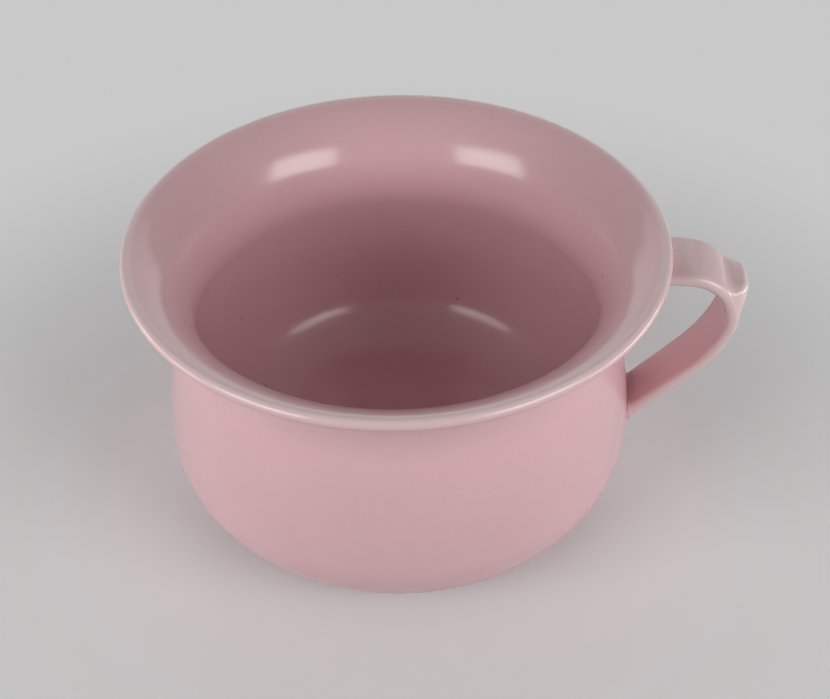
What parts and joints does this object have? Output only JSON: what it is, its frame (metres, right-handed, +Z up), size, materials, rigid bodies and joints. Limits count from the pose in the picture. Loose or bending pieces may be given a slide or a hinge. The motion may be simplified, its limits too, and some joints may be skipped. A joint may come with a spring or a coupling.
{
  "type": "chamber pot",
  "caption": "Low round chamber pot in pink glazed earthenware with a swelling belly, narrow neck, wide flared rim with a rounded lip, standing ring, and a strap handle with a thumb rest.",
  "frame": {"origin": "centre of the standing ring, on the face that the pot stands on", "axes": "+Z up along the bowl's axis, +X from that axis out through the middle of the handle, +Y across the handle"},
  "size_m": [0.2621, 0.23, 0.135],
  "materials": {
    "pink_glaze": "smooth pink glaze with a soft gloss over earthenware, a little paler on the lip and the handle's edges",
    "bare_biscuit": "bare fired clay, matt and finely gritty, wiped clean of glaze where the pot stands"
  },
  "bodies": {
    "root": {"bowl": "pink_glaze", "foot_ring": "bare_biscuit", "handle": "pink_glaze", "thumb_rest": "pink_glaze", "upper_slip_joint": "pink_glaze", "lower_slip_joint": "pink_glaze"}
  },
  "joints": []
}
